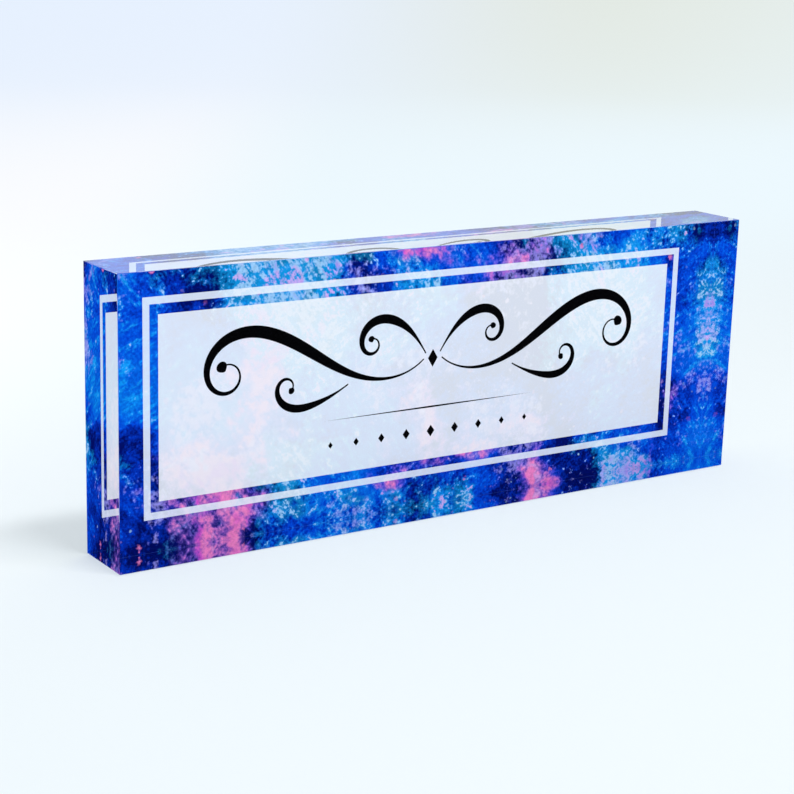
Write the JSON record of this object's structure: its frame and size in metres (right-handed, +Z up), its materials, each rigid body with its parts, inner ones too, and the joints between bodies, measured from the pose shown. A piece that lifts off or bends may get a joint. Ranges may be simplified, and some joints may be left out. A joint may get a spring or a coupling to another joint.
{
  "type": "acrylic desk name block",
  "caption": "Clear polished acrylic block standing on its long edge, with a printed film on its back: blue border, white frame line, pale panel and black scroll ornament.",
  "frame": {"origin": "on the desk, at the centre of the whole part's footprint", "axes": "+X along the block's length to the reader's right, -Y out of the front face towards the reader, +Z up"},
  "size_m": [0.2032, 0.0192, 0.0762],
  "materials": {
    "clear_acrylic": "polished",
    "clear_bond": "polished",
    "white_film": "satin",
    "border_ink": "satin",
    "black_ink": "satin"
  },
  "bodies": {
    "root": {"acrylic_block": "clear_acrylic", "optical_adhesive": "clear_bond", "print_film": "white_film", "border_ink_outer": "border_ink", "border_ink_inner": "border_ink", "centre_lozenge": "black_ink", "scroll_left": "black_ink", "scroll_right": "black_ink", "crest_left": "black_ink", "crest_right": "black_ink", "spray_left": "black_ink", "spray_right": "black_ink", "divider_rule": "black_ink", "row_lozenge_1": "black_ink", "row_lozenge_2": "black_ink", "row_lozenge_3": "black_ink", "row_lozenge_4": "black_ink", "row_lozenge_5": "black_ink", "row_lozenge_6": "black_ink", "row_lozenge_7": "black_ink", "row_lozenge_8": "black_ink", "row_lozenge_9": "black_ink"}
  },
  "joints": []
}
